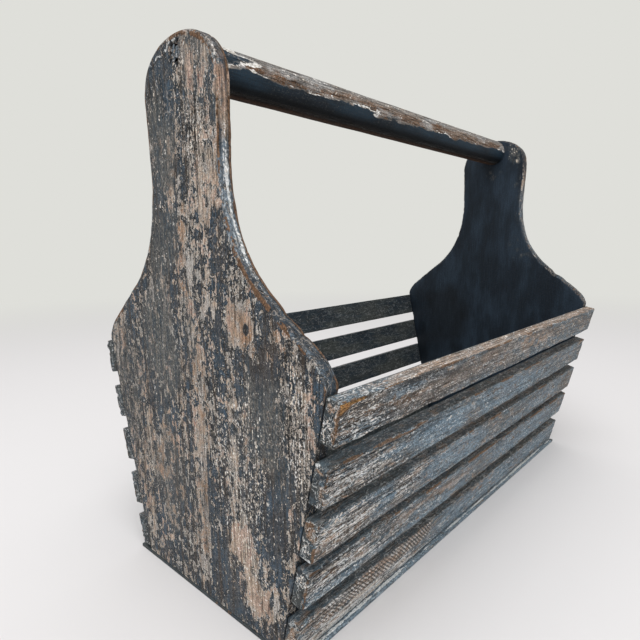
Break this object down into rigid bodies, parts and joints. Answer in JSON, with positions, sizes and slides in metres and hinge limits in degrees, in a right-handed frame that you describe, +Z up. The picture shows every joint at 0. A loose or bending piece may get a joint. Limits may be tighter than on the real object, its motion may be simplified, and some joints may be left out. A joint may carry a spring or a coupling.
{
  "type": "wooden tool caddy",
  "caption": "Open wooden tool caddy with shaped end boards, leaning slatted sides, a thin floor panel and a round dowel handle, in worn and distressed paint.",
  "frame": {"origin": "on the ground under the middle of the caddy", "axes": "+X along the dowel handle and the slats, +Y across, +Z up"},
  "size_m": [0.436, 0.2416, 0.3543],
  "materials": {
    "painted_board": "slate blue paint worn through to undercoat and bare wood",
    "painted_slat": "slate blue and whitish paint worn along the grain and the arrises",
    "painted_dowel": "navy paint worn to grey-brown wood where the hand holds it",
    "floor_panel": "thin panel painted slate",
    "wood_filler": "shrunken, cracked filler under paint",
    "steel": "plain bright wire and screw steel"
  },
  "bodies": {
    "root": {"end_board_left": "painted_board", "end_board_right": "painted_board", "handle_dowel": "painted_dowel", "floor_panel": "floor_panel", "slat_front_1": "painted_slat", "slat_front_2": "painted_slat", "slat_front_3": "painted_slat", "slat_front_4": "painted_slat", "slat_front_5": "painted_slat", "slat_back_1": "painted_slat", "slat_back_2": "painted_slat", "slat_back_3": "painted_slat", "slat_back_4": "painted_slat", "slat_back_5": "painted_slat", "screw_plug_left": "wood_filler", "screw_plug_right": "wood_filler", "handle_screw_left": "steel", "handle_screw_right": "steel", "staple_front_1_left": "steel", "staple_front_1_right": "steel", "staple_front_2_left": "steel", "staple_front_2_right": "steel", "staple_front_3_left": "steel", "staple_front_3_right": "steel", "staple_front_4_left": "steel", "staple_front_4_right": "steel", "staple_front_5_left": "steel", "staple_front_5_right": "steel", "staple_back_1_left": "steel", "staple_back_1_right": "steel", "staple_back_2_left": "steel", "staple_back_2_right": "steel", "staple_back_3_left": "steel", "staple_back_3_right": "steel", "staple_back_4_left": "steel", "staple_back_4_right": "steel", "staple_back_5_left": "steel", "staple_back_5_right": "steel", "floor_brad_left_1": "steel", "floor_brad_left_2": "steel", "floor_brad_left_3": "steel", "floor_brad_right_1": "steel", "floor_brad_right_2": "steel", "floor_brad_right_3": "steel", "floor_brad_front_1": "steel", "floor_brad_front_2": "steel", "floor_brad_front_3": "steel", "floor_brad_back_1": "steel", "floor_brad_back_2": "steel", "floor_brad_back_3": "steel"}
  },
  "joints": []
}
